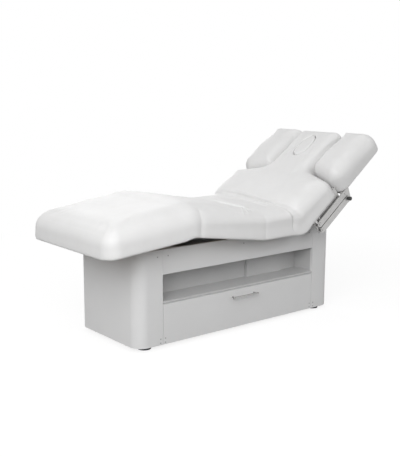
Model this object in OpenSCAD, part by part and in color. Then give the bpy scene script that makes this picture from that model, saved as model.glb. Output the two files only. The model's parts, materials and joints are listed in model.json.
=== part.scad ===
// Electric spa bed: a padded bed in four hinged sections on a cabinet with an open niche and a drawer.
// Millimetres. +X points to the head end, -Y is the drawer side, +Z is up, and the floor is z = 0.
// The bed is drawn at its lowest height with the back raised and the knees lifted a little.

/* [Cabinet] */
// Length of the cabinet
cabinet_l = 1414; // [1300:2:1500]
// Depth of the cabinet, drawer side to back
cabinet_d = 563; // [540:1:580]
// Height of the cabinet without its feet
cabinet_h = 500; // [480:2:540]
// Outside radius of the cabinet's upright corners
corner_r = 70; // [40:2:90]
// Thickness of the cabinet's outer boards
board_t = 18; // [15:1:22]
// Thickness of the inner boards
thin_t = 12; // [10:1:14]
// Length of each end shell's return on the long sides
post_l = 159; // [140:1:180]
// Width of the fine seam between neighbouring boards
seam = 1; // [0.6:0.2:2]
// Height of the open niche
niche_h = 141; // [120:1:160]
// Depth of the open niche behind the front
niche_d = 145; // [120:1:155]
// Height of the rail above the niche
rail_h = 130; // [116:1:140]
// Length of the open mechanism bay that the foot end's top board leaves
bay_start = 245; // [180:5:260]

/* [Feet] */
// Height of the levelling feet
foot_h = 20; // [14:1:30]
// Diameter of a foot's sole
foot_d = 70; // [50:1:76]
// Distance of a foot's axis from the cabinet's end
foot_in_x = 84; // [70:1:110]
// Distance of a foot's axis from the cabinet's long side
foot_in_y = 62; // [56:1:80]

/* [Drawer] */
// Gap round the drawer front
drawer_gap = 2.5; // [1.5:0.5:4]
// Clear space between the drawer's box and the lift column behind it
drawer_back_gap = 27.5; // [20:0.5:40]
// Wall of the drawer's box
drawer_t = 12; // [8:1:15]
// Clear space above the drawer's box
drawer_top_gap = 37; // [20:1:60]
// Width taken by one pair of slides beside the box
slide_w = 12.6; // [12:0.2:14]
// Overall length of the bar handle
handle_l = 185; // [120:1:260]
// Thickness of the handle's bar
handle_d = 9; // [7:0.5:12]
// Distance from the drawer front to the bar's axis
handle_out = 26; // [20:1:34]
// Distance of the handle below the drawer front's top edge
handle_drop = 39; // [25:1:60]

/* [Cushions] */
// Width of the bed
bed_w = 800; // [740:5:820]
// Thickness of a cushion at its edge
cushion_t = 130; // [110:1:136]
// Rise of the crown above the edge
crown = 22; // [8:1:26]
// Radius of the rolled top edge
edge_r = 33; // [16:1:34]
// Depth of the pocket that holds the board under a cushion
pocket_h = 44; // [40:1:46]
// Width of the skirt round the pocket
skirt_w = 28; // [24:1:40]
// How far the skirts hang below the cabinet's top edge
seat_sink = 11; // [9:1:15]
// Height of a hinge axis above the skirt's lower edge
axis_rise = 18; // [16:0.5:19]
// Thickness of the foam lip over each joint's round nose
lip_t = 14; // [12:1:18]

/* [Sections] */
// Distance from the cabinet's middle to the thigh hinge, towards the head
thigh_axis_x = 55; // [30:1:80]
// Distance between the thigh hinge and the back hinge
seat_l = 304; // [290:1:330]
// Length of the thigh section between its hinges
thigh_l = 452; // [420:1:470]
// Length of the leg section from the knee hinge
leg_l = 553; // [500:1:600]
// Length of the back and head cushion from the back hinge
back_l = 748; // [700:1:780]
// Plan radius of the foot end's corners
foot_end_r = 92; // [40:2:110]
// Angle of the thigh section above the horizontal
thigh_angle = 8.5; // [0:0.1:12]
// Bend of the knee: the leg section's angle below the line of the thigh
knee_angle = 13.6; // [0:0.1:16]
// Angle of the back above the horizontal
back_angle = 38; // [20:1:45]
// Steepest angle of the back
back_top_angle = 65; // [60:1:66]
// Steepest angle of the thigh section
thigh_top_angle = 34; // [30:1:35]

/* [Head] */
// Half the width of the head strip between the arm pads
neck_half = 162; // [150:1:170]
// Distance from the back hinge to the line of the shoulders
shoulder_s = 382; // [340:1:400]
// Slope of the shoulder line, back from the neck to the side, in degrees
shoulder_turn = 18; // [12:1:22]
// Radius of the shoulder's outer corner
shoulder_r = 62; // [40:1:70]
// Radius of the hollow between shoulder and head strip
neck_r = 60; // [52:1:70]
// Plan radius of the head strip's corners
head_r = 36; // [28:1:50]
// Length of the face opening
face_l = 196; // [170:1:220]
// Width of the face opening
face_w = 98; // [80:1:110]
// Distance from the face opening's middle to the head end
face_in = 168; // [140:1:180]

/* [Arm pads] */
// How far the arm pads reach beyond the bed's long sides
arm_side = 8; // [0:1:12]
// How far the arm pads reach past the head end
arm_past = 27; // [0:1:60]
// How far an arm pad lies below the back cushion
arm_drop = 22; // [16:1:40]
// Gap between an arm pad and the back cushion
arm_gap = 13; // [11:1:18]
// Plan radius of an arm pad's outer corners
arm_r = 62; // [40:1:70]

/* [Arm linkage] */
// Length of each link between its pivots
link_l = 264; // [240:1:272]
// Width of a link
link_w = 38; // [30:1:40]
// Thickness of the links and their plates
link_t = 6; // [4:0.5:7]
// Distance between the two links' pivots on a plate
pivot_gap = 43; // [41:0.5:46]
// Distance from the back hinge to the lower pivots, along the back
pivot_s = 122; // [110:1:130]
// Depth of the upper link's pivots below the skirt's lower edge
pivot_drop = 46; // [42:1:52]
// Distance of the links' plane inside the bed's edge
link_in = 20; // [18:1:24]
// Radius of a pivot pin
pivot_r = 5; // [4:0.5:6]
// Diameter of the lock knob
knob_d = 24; // [18:1:28]

/* [Frame] */
// Height of the frame tubes
tube_h = 28; // [25:1:30]
// Width of the frame tubes
tube_w = 25; // [20:1:30]
// Wall of the frame tubes
tube_t = 3; // [2:0.5:4]
// Distance of the seat's rails from the middle
rail_y = 165; // [150:1:175]
// Thickness of the leg section's flat bars
flat_t = 12; // [10:1:13]
// Radius of the hinge pins
hinge_pin_r = 6; // [5:0.5:7]

/* [Lift column] */
// Outside length of the column's lowest tube
column_l = 200; // [160:2:220]
// Outside width of the column's lowest tube
column_w = 140; // [120:2:150]
// Wall of the column's tubes
column_t = 4; // [3:0.5:6]
// Running gap between two tubes of the column
column_gap = 0.5; // [0.4:0.1:0.8]
// Distance of the column's axis from the cabinet's middle, towards the head
column_x = 210; // [190:2:240]

/* [Hidden] */
$fn = 72;

// Overrun of a cut past the face that it leaves
over = 1;
// Clearance of a fixed piece in its seat
fit = 0.2;
// Radial running clearance of a pivot
run_gap = 0.05;
// Clearance of soft solids
soft_gap = 0.5;

// Cabinet levels and edges
floor_z = foot_h;
cabinet_top = foot_h + cabinet_h;
half_l = cabinet_l / 2;
half_d = cabinet_d / 2;
inner_l = cabinet_l - 2 * board_t;
inner_d = cabinet_d - 2 * board_t;
inner_r = corner_r - board_t;
post_x = half_l - post_l;
niche_top = cabinet_top - rail_h;
niche_floor = niche_top - niche_h;
drawer_top = niche_floor - thin_t;
front_in = -half_d + board_t;
niche_back_y = -half_d + niche_d;
bay_floor_top = niche_top + thin_t;
base_top = floor_z + board_t;

// The drawer's box fills the room in front of the lift column and under the shelf
drawer_d = half_d - board_t - column_w / 2 - drawer_back_gap;
drawer_h = drawer_top - base_top - drawer_t - drawer_top_gap;

// Hinge axes: level of the seat's two hinges, and the knee
axis_z = cabinet_top - seat_sink + axis_rise;
back_axis_x = thigh_axis_x + seat_l;
leg_angle = knee_angle - thigh_angle;
knee_x = thigh_axis_x - thigh_l * cos(thigh_angle);
knee_z = axis_z + thigh_l * sin(thigh_angle);

// The object's ends, which set the origin at the middle of its length
foot_end_x = knee_x - leg_l * cos(leg_angle) - axis_rise * sin(leg_angle);
arm_end_s = back_l + arm_past;
head_end_x = back_axis_x + arm_end_s * cos(back_angle) + (axis_rise + arm_drop) * sin(back_angle);
middle_x = (foot_end_x + head_end_x) / 2;

// Levels inside a cushion section, from its hinge axis
skirt_z = -axis_rise;
edge_z = cushion_t - axis_rise;
pocket_z = pocket_h - axis_rise;
crown_z = edge_z + crown;
nose_r = edge_z - lip_t;
bed_half = bed_w / 2;
pocket_half = bed_half - skirt_w;
// Reach of a soft outline past a joint before it is trimmed
joint_over = edge_z + crown;
// Distance from a hinge axis to the start of a section's board
board_start = nose_r + soft_gap + fit;
// Full-height part of the seat cushion, clear of the folding lips
thigh_clear = crown_z * sin(thigh_top_angle) + fit;
back_clear = crown_z * sin(back_top_angle) + fit;
frame_board_t = thin_t;
tube_top = pocket_z - frame_board_t;
tube_bottom = tube_top - tube_h;

// Foam edge, from the skirt's lower edge up: inset as a share of edge_r, height as a share of cushion_t
edge_shares = [[0.4, 0], [0.12, 0.07], [0, 0.2], [0.14, 0.5], [0, 0.78], [0.12, 0.89], [0.42, 0.965],
    [1, 1]];
// Crown: width share, length share and height share of each ring above the edge
crown_shares = [[0.86, 0.93, 0.42], [0.62, 0.82, 0.78], [0.34, 0.7, 0.96], [0.12, 0.6, 1]];
// Steps of a soft outline's corners
corner_steps = 7;

// Arm pads and their linkage
arm_in = neck_half + arm_gap;
arm_out = bed_half + arm_side;
arm_skirt_z = skirt_z - arm_drop;
pivot_z = skirt_z - pivot_drop;
carrier_s = pivot_s + link_l;
plate_y = pocket_half - link_t - fit - soft_gap;
bar_in = bed_half - link_in;
bar_out = bar_in + link_t;
carrier_y = bar_in - link_t - soft_gap;
head_t = link_t;
knob_t = knob_d / 2;
outrigger_h = tube_h / 2;
outrigger_w = 2 * tube_w;

// Column tubes
column_h = bay_floor_top + board_t - base_top;
column_plate_t = thin_t;
head_plate_top = axis_z + tube_bottom;
middle_l = column_l - 2 * (column_t + column_gap);
middle_w = column_w - 2 * (column_t + column_gap);
lift_l = middle_l - 2 * (column_t + column_gap);
lift_w = middle_w - 2 * (column_t + column_gap);

// Colours
white = [0.86, 0.86, 0.86];
soft_white = [0.93, 0.93, 0.93];
black = [0.12, 0.12, 0.13];
steel = [0.66, 0.67, 0.68];
cap_colour = [0.7, 0.7, 0.7];
board_colour = [0.74, 0.68, 0.58];

// Placement frames
module in_cabinet() {
    translate([-middle_x, 0, 0]) children();
}

module in_seat() {
    in_cabinet() translate([thigh_axis_x, 0, axis_z]) children();
}

module in_thigh() {
    in_seat() rotate([0, thigh_angle, 0]) children();
}

module in_leg() {
    in_thigh() translate([-thigh_l, 0, 0]) rotate([0, -knee_angle, 0]) children();
}

module in_back() {
    in_seat() translate([seat_l, 0, 0]) rotate([0, -back_angle, 0]) children();
}

// The drawer side is the front; the rear arm is the front one mirrored
module on_side(front) {
    if (front) children();
    else mirror([0, 1, 0]) children();
}

// Plan of a rectangle with round corners, centred
module round_plate(l, w, r) {
    square([l - 2 * r, w], center = true);
    square([l, w - 2 * r], center = true);
    for (x = [-1, 1], y = [-1, 1]) translate([x * (l / 2 - r), y * (w / 2 - r)]) circle(r);
}

// Box from one corner to the opposite one
module block(low, high) {
    translate(low) cube(high - low);
}

// Profile in x and z, run along y over the given width, centred
module across(w) {
    translate([0, w / 2, 0]) rotate([90, 0, 0]) linear_extrude(w) children();
}

// Cabinet plan and its hollow
module cabinet_plan() {
    round_plate(cabinet_l, cabinet_d, corner_r);
}

module inner_plan() {
    round_plate(inner_l - 2 * fit, inner_d - 2 * fit, inner_r - fit);
}

module shell_plan() {
    difference() {
        cabinet_plan();
        round_plate(inner_l, inner_d, inner_r);
    }
}

module end_shell(side) {
    low_x = side > 0 ? post_x : -half_l;
    translate([0, 0, floor_z]) linear_extrude(cabinet_h) intersection() {
        shell_plan();
        translate([low_x, -half_d]) square([post_l, cabinet_d]);
    }
}

module foot_end_shell() {
    color(white) in_cabinet() end_shell(-1);
}

module head_end_shell() {
    color(white) in_cabinet() end_shell(1);
}

module top_rail() {
    color(white) in_cabinet()
        block([-post_x + seam, -half_d, niche_top], [post_x - seam, front_in, cabinet_top]);
}

module back_panel() {
    color(white) in_cabinet()
        block([-post_x + seam, -front_in, floor_z], [post_x - seam, half_d, cabinet_top]);
}

module foot_places() {
    for (x = [-1, 1], y = [-1, 1])
        translate([x * (half_l - foot_in_x), y * (half_d - foot_in_y), 0]) children();
}

// Threaded stem of a levelling foot
stem_share = 0.07;
stem_r = stem_share * foot_d;

module base_board() {
    color(board_colour) in_cabinet() difference() {
        translate([0, 0, floor_z]) linear_extrude(board_t) inner_plan();
        foot_places() translate([0, 0, floor_z - over])
            cylinder(r = stem_r + run_gap, h = board_t + 2 * over);
    }
}

// Board over the niche that also floors the mechanism bay; the column passes through it
module bay_floor() {
    color(white) in_cabinet() difference() {
        translate([0, 0, niche_top]) linear_extrude(thin_t) inner_plan();
        translate([column_x, 0, niche_top - over]) linear_extrude(thin_t + 2 * over)
            square([column_l + 2 * fit, column_w + 2 * fit], center = true);
    }
}

module shelf_board() {
    color(white) in_cabinet()
        block([-post_x + fit, -half_d, drawer_top], [post_x - fit, niche_back_y, niche_floor]);
}

module niche_back() {
    color(white) in_cabinet()
        block([-post_x + fit, niche_back_y, drawer_top], [post_x - fit, niche_back_y + thin_t, niche_top]);
}

// Uprights that close the niche's ends and carry the drawer's runners
module partitions() {
    color(white) in_cabinet() for (side = [-1, 1])
        block([side > 0 ? post_x : -post_x - thin_t, front_in, base_top],
            [side > 0 ? post_x + thin_t : -post_x, front_in + drawer_d + board_t, niche_top]);
}

// Cover of the lift column's service hatch, in the niche
cover_share = 1.35;
cover_shift_share = 0.33;
cover_l = cover_share * column_l;
cover_t = board_t;
cover_x = column_x + cover_shift_share * column_l;

module service_cover() {
    color(white) in_cabinet()
        block([cover_x - cover_l / 2, niche_back_y - cover_t, niche_floor],
            [cover_x + cover_l / 2, niche_back_y, niche_top]);
}

module foot_top_board() {
    color(white) in_cabinet() translate([0, 0, cabinet_top - thin_t]) linear_extrude(thin_t)
        intersection() {
            inner_plan();
            translate([-half_l, -half_d]) square([bay_start, cabinet_d]);
        }
}

// Sole, cone and stem of one levelling foot
sole_share = 0.55;
cone_share = 0.62;

module levelling_feet() {
    color(black) in_cabinet() foot_places() {
        rotate_extrude() polygon([[0, 0], [foot_d / 2 - sole_share, 0], [foot_d / 2, sole_share],
            [foot_d / 2, foot_h * sole_share], [foot_d / 2 * cone_share, foot_h], [0, foot_h]]);
        cylinder(r = stem_r, h = foot_h + board_t);
    }
}

// Plastic caps over the assembly screws: a pair of rows beside each seam, and single ones along the top
cap_r = 3.5;
cap_t = 1.2;
cap_in = 15.5;
cap_low = 11.5;
cap_pitch = 21.5;
cap_high = 35;
cap_high_in = 33;

// Caps at the given distance from the seam, on both sides of the cabinet
module cap_pairs(x) {
    for (side = [-1, 1], row = [0, 1])
        translate([side * x, floor_z + cap_low + row * cap_pitch]) cylinder(r = cap_r, h = cap_t);
}

module on_front() {
    in_cabinet() translate([0, -half_d, 0]) rotate([90, 0, 0]) children();
}

module screw_caps() {
    color(cap_colour) on_front() {
        cap_pairs(post_x + cap_in);
        for (x = [0, post_x - cap_high_in, post_x + cap_high_in], side = x > 0 ? [-1, 1] : [1])
            translate([side * x, cabinet_top - cap_high]) cylinder(r = cap_r, h = cap_t);
    }
}

module drawer_caps() {
    color(cap_colour) on_front() cap_pairs(post_x - cap_in);
}

// Drawer
box_half = post_x - slide_w;
box_low = base_top + drawer_t;
box_back = front_in + drawer_d;
slide_mid = box_low + drawer_h / 2;
slide_shares = [0.24, 0.16];
slide_h = slide_shares[0] * drawer_h;
slide_in_h = slide_shares[1] * drawer_h;
rail_t = slide_w / 2;

module drawer_runners() {
    color(steel) in_cabinet() for (side = [-1, 1])
        block([side > 0 ? post_x - rail_t + fit / 2 : -post_x, front_in + drawer_t,
            slide_mid - slide_h / 2],
            [side > 0 ? post_x : -post_x + rail_t - fit / 2, box_back, slide_mid + slide_h / 2]);
}

module drawer_slides() {
    color(steel) in_cabinet() for (side = [-1, 1])
        block([side > 0 ? box_half : -box_half - rail_t + fit / 2, front_in + drawer_t,
            slide_mid - slide_in_h / 2],
            [side > 0 ? box_half + rail_t - fit / 2 : -box_half, box_back - drawer_t,
            slide_mid + slide_in_h / 2]);
}

module drawer_front() {
    color(white) in_cabinet()
        block([-post_x + drawer_gap, -half_d, floor_z],
            [post_x - drawer_gap, front_in, drawer_top - drawer_gap]);
}

module drawer_box() {
    color(white) in_cabinet() difference() {
        block([-box_half, front_in, box_low], [box_half, box_back, box_low + drawer_h]);
        block([-box_half + drawer_t, front_in + drawer_t, box_low + drawer_t],
            [box_half - drawer_t, box_back - drawer_t, box_low + drawer_h + over]);
    }
}

post_in_share = 1.5;
post_share = 0.8;
handle_post_in = post_in_share * handle_d;

module drawer_handle() {
    handle_z = drawer_top - drawer_gap - handle_drop;
    color(steel) in_cabinet() translate([0, -half_d, handle_z]) {
        translate([-handle_l / 2, -handle_out, 0]) rotate([0, 90, 0]) cylinder(d = handle_d, h = handle_l);
        for (side = [-1, 1]) translate([side * (handle_l / 2 - handle_post_in), 0, 0])
            rotate([90, 0, 0]) cylinder(d = post_share * handle_d, h = handle_out);
    }
}

// Appliance inlet low on the back panel, near the foot end
inlet_w = 48;
inlet_h = 28;
inlet_t = 4;
inlet_z = 90;
inlet_r = 5;

module mains_inlet() {
    color(black) in_cabinet() translate([-post_x + inlet_z, half_d, floor_z + inlet_z])
        rotate([-90, 0, 0]) difference() {
            linear_extrude(inlet_t) round_plate(inlet_w, inlet_h + inlet_r, inlet_r);
            translate([0, 0, inlet_t / 2]) linear_extrude(inlet_t)
                round_plate(inlet_w / 2, inlet_h / 2, inlet_r);
        }
}

// Telescopic lift column
module column_tube(l, w, low, high) {
    in_cabinet() translate([column_x, 0, low]) linear_extrude(high - low) difference() {
        square([l, w], center = true);
        square([l - 2 * column_t, w - 2 * column_t], center = true);
    }
}

column_foot = base_top + column_plate_t;

module column_base() {
    color(steel) in_cabinet()
        block([column_x - column_l / 2 - board_t, -column_w / 2, base_top],
            [column_x + column_l / 2 + board_t, column_w / 2, column_foot]);
}

module column_outer() {
    color(steel) column_tube(column_l, column_w, column_foot, base_top + column_h);
}

module column_middle() {
    color(steel) column_tube(middle_l, middle_w, column_foot + fit, base_top + column_h + board_t);
}

// The innermost tube carries the head plate that the seat's frame is bolted to
module column_inner() {
    color(steel) {
        column_tube(lift_l, lift_w, column_foot + 2 * fit, head_plate_top - column_plate_t);
        in_cabinet() block([thigh_axis_x + tube_h, -rail_y - tube_w / 2, head_plate_top - column_plate_t],
            [back_axis_x - tube_h, rail_y + tube_w / 2, head_plate_top]);
    }
}

// Frame tubes. A rail's end is rounded about the hinge pin that it turns on
module rail_profile(from, to, low, high) {
    translate([from, low]) square([to - from, high - low]);
}

// Hollow of a pair of rails, which stops short of the hinge pins
module rail_hollow(y, from, to) {
    for (side = [-1, 1])
        block([from + hinge_r + tube_t, side * y - tube_w / 2 + tube_t, tube_bottom + tube_t],
            [to - hinge_r - tube_t, side * y + tube_w / 2 - tube_t, tube_top - tube_t]);
}

module hinge_hole() {
    circle(hinge_pin_r + run_gap);
}

// Both rails of a frame, drawn from a profile in x and z
module rail_pair(y) {
    for (side = [-1, 1]) translate([0, side * y, 0]) across(tube_w) children();
}

hinge_r = tube_h / 2;
hinge_mid = tube_bottom + hinge_r;
outer_rail_y = rail_y + tube_w + soft_gap;
cross_inset = 2 * tube_w;

module seat_rails() {
    color(black) in_seat() difference() {
        rail_pair(rail_y) difference() {
            union() {
                rail_profile(0, seat_l, tube_bottom, tube_top);
                circle(hinge_r);
                translate([seat_l, 0]) circle(hinge_r);
            }
            hinge_hole();
            translate([seat_l, 0]) hinge_hole();
        }
        rail_hollow(rail_y, 0, seat_l);
    }
}

module seat_cross_tubes() {
    color(black) in_seat() for (x = [cross_inset, seat_l - cross_inset])
        block([x - tube_w / 2, -rail_y + tube_w / 2, tube_bottom],
            [x + tube_w / 2, rail_y - tube_w / 2, tube_top]);
}

module seat_board() {
    color(board_colour) in_seat()
        block([thigh_clear, -pocket_half + fit, tube_top],
            [seat_l - back_clear, pocket_half - fit, pocket_z]);
}

module seat_hinge_pins() {
    color(steel) in_seat() for (side = [-1, 1], x = [0, seat_l])
        translate([x, side * (rail_y + tube_w / 2 + soft_gap / 2), 0]) rotate([90, 0, 0])
            cylinder(r = hinge_pin_r, h = 2 * tube_w + soft_gap, center = true);
}

module thigh_rails() {
    color(black) in_thigh() difference() {
        rail_pair(outer_rail_y) difference() {
            union() {
                rail_profile(-thigh_l, 0, tube_bottom, tube_top);
                circle(hinge_r);
                translate([-thigh_l, 0]) circle(hinge_r);
            }
            hinge_hole();
            translate([-thigh_l, 0]) hinge_hole();
        }
        rail_hollow(outer_rail_y, -thigh_l, 0);
    }
}

module thigh_cross_tube() {
    color(black) in_thigh()
        block([-thigh_l / 2 - tube_w / 2, -outer_rail_y + tube_w / 2, tube_bottom],
            [-thigh_l / 2 + tube_w / 2, outer_rail_y - tube_w / 2, tube_top]);
}

module thigh_board() {
    color(board_colour) in_thigh()
        block([-thigh_l + soft_gap, -pocket_half + fit, tube_top],
            [-board_start, pocket_half - fit, pocket_z]);
}

module knee_pins() {
    color(steel) in_thigh() for (side = [-1, 1])
        translate([-thigh_l, side * (rail_y + tube_w / 2 + soft_gap / 2), 0]) rotate([90, 0, 0])
            cylinder(r = hinge_pin_r, h = 2 * tube_w + soft_gap, center = true);
}

module leg_bars() {
    color(black) in_leg() rail_pair(rail_y) difference() {
        union() {
            rail_profile(-leg_l + foot_end_r, 0, tube_top - flat_t, tube_top);
            circle(flat_t);
        }
        hinge_hole();
    }
}

module leg_cross_bar() {
    color(black) in_leg()
        block([-leg_l / 2 - tube_w, -rail_y + tube_w / 2, tube_top - flat_t],
            [-leg_l / 2 + tube_w, rail_y - tube_w / 2, tube_top]);
}

// Soft outlines: an arc of points, and an outline moved inwards by d
function arc(x, y, r, from, to) =
    [for (i = [0 : corner_steps]) let (a = from + (to - from) * i / corner_steps)
        [x + r * cos(a), y + r * sin(a)]];
function direction(a, b) = (b - a) / norm(b - a);
function left_of(v) = [-v.y, v.x];
function inward(p, i) =
    let (n = len(p), before = left_of(direction(p[(i + n - 1) % n], p[i])),
        after = left_of(direction(p[i], p[(i + 1) % n])))
    (before + after) / (1 + before * after);
function inset(p, d) = [for (i = [0 : len(p) - 1]) p[i] + d * inward(p, i)];
function squeezed(p, x0, y0, kx, ky) = [for (q = p) [x0 + (q.x - x0) * kx, y0 + (q.y - y0) * ky]];
function flipped(p) = [for (i = [len(p) - 1 : -1 : 0]) [p[i].x, -p[i].y]];

// Rings of a cushion over its outline: rolled, drawn-in side, then the crown that narrows to the line
// y = y0 and draws away from the free end towards x0
function side_rings(outline) =
    [for (s = edge_shares) [for (q = inset(outline, s[0] * edge_r)) [q.x, q.y, s[1] * cushion_t]]];
function crown_rings(outline, x0, y0) =
    [for (s = crown_shares) [for (q = squeezed(inset(outline, edge_r), x0, y0, s[1], s[0]))
        [q.x, q.y, cushion_t + s[2] * crown]]];
// The same without squeezing the length, for a section with a joint at both ends
function level_crown(outline, y0) =
    [for (s = crown_shares) [for (q = squeezed(inset(outline, edge_r), 0, y0, 1, s[0]))
        [q.x, q.y, cushion_t + s[2] * crown]]];

// Closed solid through rings of equal and even count. The second half of each ring runs back beside the
// first, so that the flat ends are made of strips from side to side
module ring_solid(rings) {
    n = len(rings[0]);
    last = len(rings) - 1;
    sides = [for (k = [0 : last - 1], i = [0 : n - 1]) let (j = (i + 1) % n, a = k * n, b = a + n)
        each [[a + i, b + i, b + j], [a + i, b + j, a + j]]];
    low = [for (i = [0 : n / 2 - 2]) [i, i + 1, n - 2 - i, n - 1 - i]];
    top = [for (q = low) [for (k = [3 : -1 : 0]) last * n + q[k]]];
    polyhedron([for (r = rings) each r], concat(low, sides, top));
}

// Outlines in plan, counter-clockwise, in each section's own frame
leg_outline = concat(
    arc(-leg_l + foot_end_r, -bed_half + foot_end_r, foot_end_r, 180, 270),
    [[joint_over, -bed_half], [joint_over, bed_half]],
    arc(-leg_l + foot_end_r, bed_half - foot_end_r, foot_end_r, 90, 180));
thigh_outline = [[-thigh_l - joint_over, -bed_half], [joint_over, -bed_half], [joint_over, bed_half],
    [-thigh_l - joint_over, bed_half]];
seat_outline = [[-joint_over, -bed_half], [seat_l + joint_over, -bed_half], [seat_l + joint_over, bed_half],
    [-joint_over, bed_half]];

// The shoulder line touches the round outer corner and the hollow that leads into the head strip
neck_s = shoulder_s + neck_r;
neck_y = neck_half + neck_r;
shoulder_y = bed_half - shoulder_r;
shoulder_side_s = neck_s
    - (shoulder_r + neck_r + (shoulder_y - neck_y) * sin(shoulder_turn)) / cos(shoulder_turn);
back_half_outline = concat(
    arc(shoulder_side_s, -shoulder_y, shoulder_r, -90, -shoulder_turn),
    arc(neck_s, -neck_y, neck_r, 180 - shoulder_turn, 90),
    arc(back_l - head_r, -neck_half + head_r, head_r, -90, 0));
back_outline = concat([[-joint_over, -bed_half]], back_half_outline, flipped(back_half_outline),
    [[-joint_over, bed_half]]);

// Arm pad at negative y; its lower end follows the shoulder and the hollow at the arm gap
arm_in_r = neck_r - arm_gap;
arm_y = arm_out - arm_r;
arm_side_s = neck_s - ((arm_y - neck_y) * sin(shoulder_turn) + arm_in_r - arm_r) / cos(shoulder_turn);
arm_outline = concat(
    arc(arm_side_s, -arm_y, arm_r, 180 - shoulder_turn, 270),
    arc(arm_end_s - arm_r, -arm_y, arm_r, -90, 0),
    arc(arm_end_s - head_r, -arm_in - head_r, head_r, 0, 90),
    arc(neck_s, -neck_y, arm_in_r, 90, 180 - shoulder_turn));

// Deep cuts run this far to be sure to leave the cushion
far = bed_w;

// Pocket under a cushion, open at its joint ends
module pocket(from, to) {
    block([from, -pocket_half, skirt_z - over], [to, pocket_half, pocket_z]);
}

// Wedge in front of a joint that a swinging frame needs: everything below a line at the given angle
module frame_sweep(angle, top) {
    rotate([0, -angle, 0]) block([0, -pocket_half, -far], [far, pocket_half, top]);
}

// Wedge below the next section's lower face, at the angle at which it rests
module below_next(angle) {
    rotate([0, -angle, 0]) block([0, -far, -far], [far, far, skirt_z]);
}

// Full height in the middle, with a notch beside the back's nose for the lip of the raised back
module seat_profile() {
    polygon([[0, skirt_z], [seat_l, skirt_z], [seat_l, 0],
        [seat_l - back_clear, back_clear / tan(back_top_angle) - fit], [seat_l - back_clear, far],
        [thigh_clear, far], [thigh_clear, 0], [0, 0]]);
    for (x = [0, seat_l]) translate([x, 0]) circle(nose_r);
}

module seat_cushion() {
    color(soft_white) in_seat() difference() {
        intersection() {
            translate([0, 0, skirt_z])
                ring_solid(concat(side_rings(seat_outline), level_crown(seat_outline, 0)));
            across(far * 2) seat_profile();
        }
        pocket(-nose_r / 2, seat_l + nose_r / 2);
        translate([seat_l, 0, 0]) {
            frame_sweep(back_top_angle, tube_top + soft_gap);
            below_next(back_angle);
        }
        mirror([1, 0, 0]) {
            frame_sweep(thigh_top_angle, tube_top + soft_gap);
            below_next(thigh_angle);
        }
    }
}

module thigh_profile() {
    difference() {
        translate([-thigh_l + soft_gap, skirt_z]) square([thigh_l - soft_gap, far]);
        circle(nose_r + soft_gap);
    }
    translate([-thigh_l, 0]) circle(nose_r);
}

module thigh_cushion() {
    color(soft_white) in_thigh() difference() {
        intersection() {
            translate([0, 0, skirt_z])
                ring_solid(concat(side_rings(thigh_outline), level_crown(thigh_outline, 0)));
            across(far * 2) thigh_profile();
        }
        pocket(-thigh_l - joint_over, over);
        translate([-thigh_l, 0, 0]) mirror([1, 0, 0]) below_next(-knee_angle);
    }
}

module leg_profile() {
    difference() {
        translate([-leg_l - over, skirt_z - over]) square([leg_l + over - soft_gap, far]);
        circle(nose_r + soft_gap);
    }
}

module leg_cushion() {
    color(soft_white) in_leg() difference() {
        intersection() {
            translate([0, 0, skirt_z])
                ring_solid(concat(side_rings(leg_outline), crown_rings(leg_outline, joint_over, 0)));
            across(far * 2) leg_profile();
        }
        translate([0, 0, skirt_z - over]) linear_extrude(pocket_h + over)
            polygon(inset(leg_outline, skirt_w));
    }
}

module leg_board() {
    color(board_colour) in_leg() translate([0, 0, tube_top]) linear_extrude(frame_board_t) intersection() {
        polygon(inset(leg_outline, skirt_w + fit));
        translate([-leg_l, -bed_half]) square([leg_l - board_start, bed_w]);
    }
}

// Elliptical face opening and the plug that fills it
face_s = back_l - face_in;
face_steps = 40;
plug_gap = 0.6;
function ellipse(a, b) =
    [for (i = [0 : face_steps - 1]) let (t = 360 * (i + 0.5) / face_steps) [a * cos(t), b * sin(t)]];

module face_hole(low, high) {
    translate([face_s, 0, low]) linear_extrude(high - low) polygon(ellipse(face_l / 2, face_w / 2));
}

module back_profile() {
    difference() {
        translate([soft_gap, skirt_z - over]) square([back_l + over, far]);
        circle(nose_r + soft_gap);
    }
}

module back_cushion() {
    color(soft_white) in_back() difference() {
        intersection() {
            translate([0, 0, skirt_z])
                ring_solid(concat(side_rings(back_outline), crown_rings(back_outline, -joint_over, 0)));
            across(far * 2) back_profile();
        }
        translate([0, 0, skirt_z - over]) linear_extrude(pocket_h + over)
            polygon(inset(back_outline, skirt_w));
        // The skirt across the shoulders clears the cabinet's top edge when the back lies flat
        block([0, -half_d - board_t, skirt_z - over],
            [half_l - back_axis_x + board_t, half_d + board_t, skirt_z + seat_sink + soft_gap]);
        face_hole(skirt_z - over, far);
    }
}

module back_board() {
    color(board_colour) in_back() difference() {
        translate([0, 0, tube_top]) linear_extrude(frame_board_t) intersection() {
            polygon(inset(back_outline, skirt_w + fit));
            translate([board_start, -bed_half]) square([back_l, bed_w]);
        }
        face_hole(tube_top - over, pocket_z + over);
    }
}

// Plug: inset as a share of its edge radius, height as a share of its thickness. Its top follows the crown
plug_shares = [[0.5, 0], [0, 0.06], [0, 0.9], [0.35, 0.965], [1, 0.99], [2.2, 1]];
plug_rise_share = 0.62;
plug_slope_share = 0.7;
plug_edge_r = 9;
plug_low = pocket_z;
plug_outline = [for (q = ellipse(face_l / 2 - plug_gap, face_w / 2 - plug_gap)) [q.x + face_s, q.y]];
function plug_top(s) = edge_z + crown * (plug_rise_share - plug_slope_share * (s - face_s) / face_l);

module face_plug() {
    color(soft_white) in_back() ring_solid([for (s = plug_shares)
        [for (q = inset(plug_outline, s[0] * plug_edge_r))
            [q.x, q.y, plug_low + s[1] * (plug_top(q.x) - plug_low)]]]);
}

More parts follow.
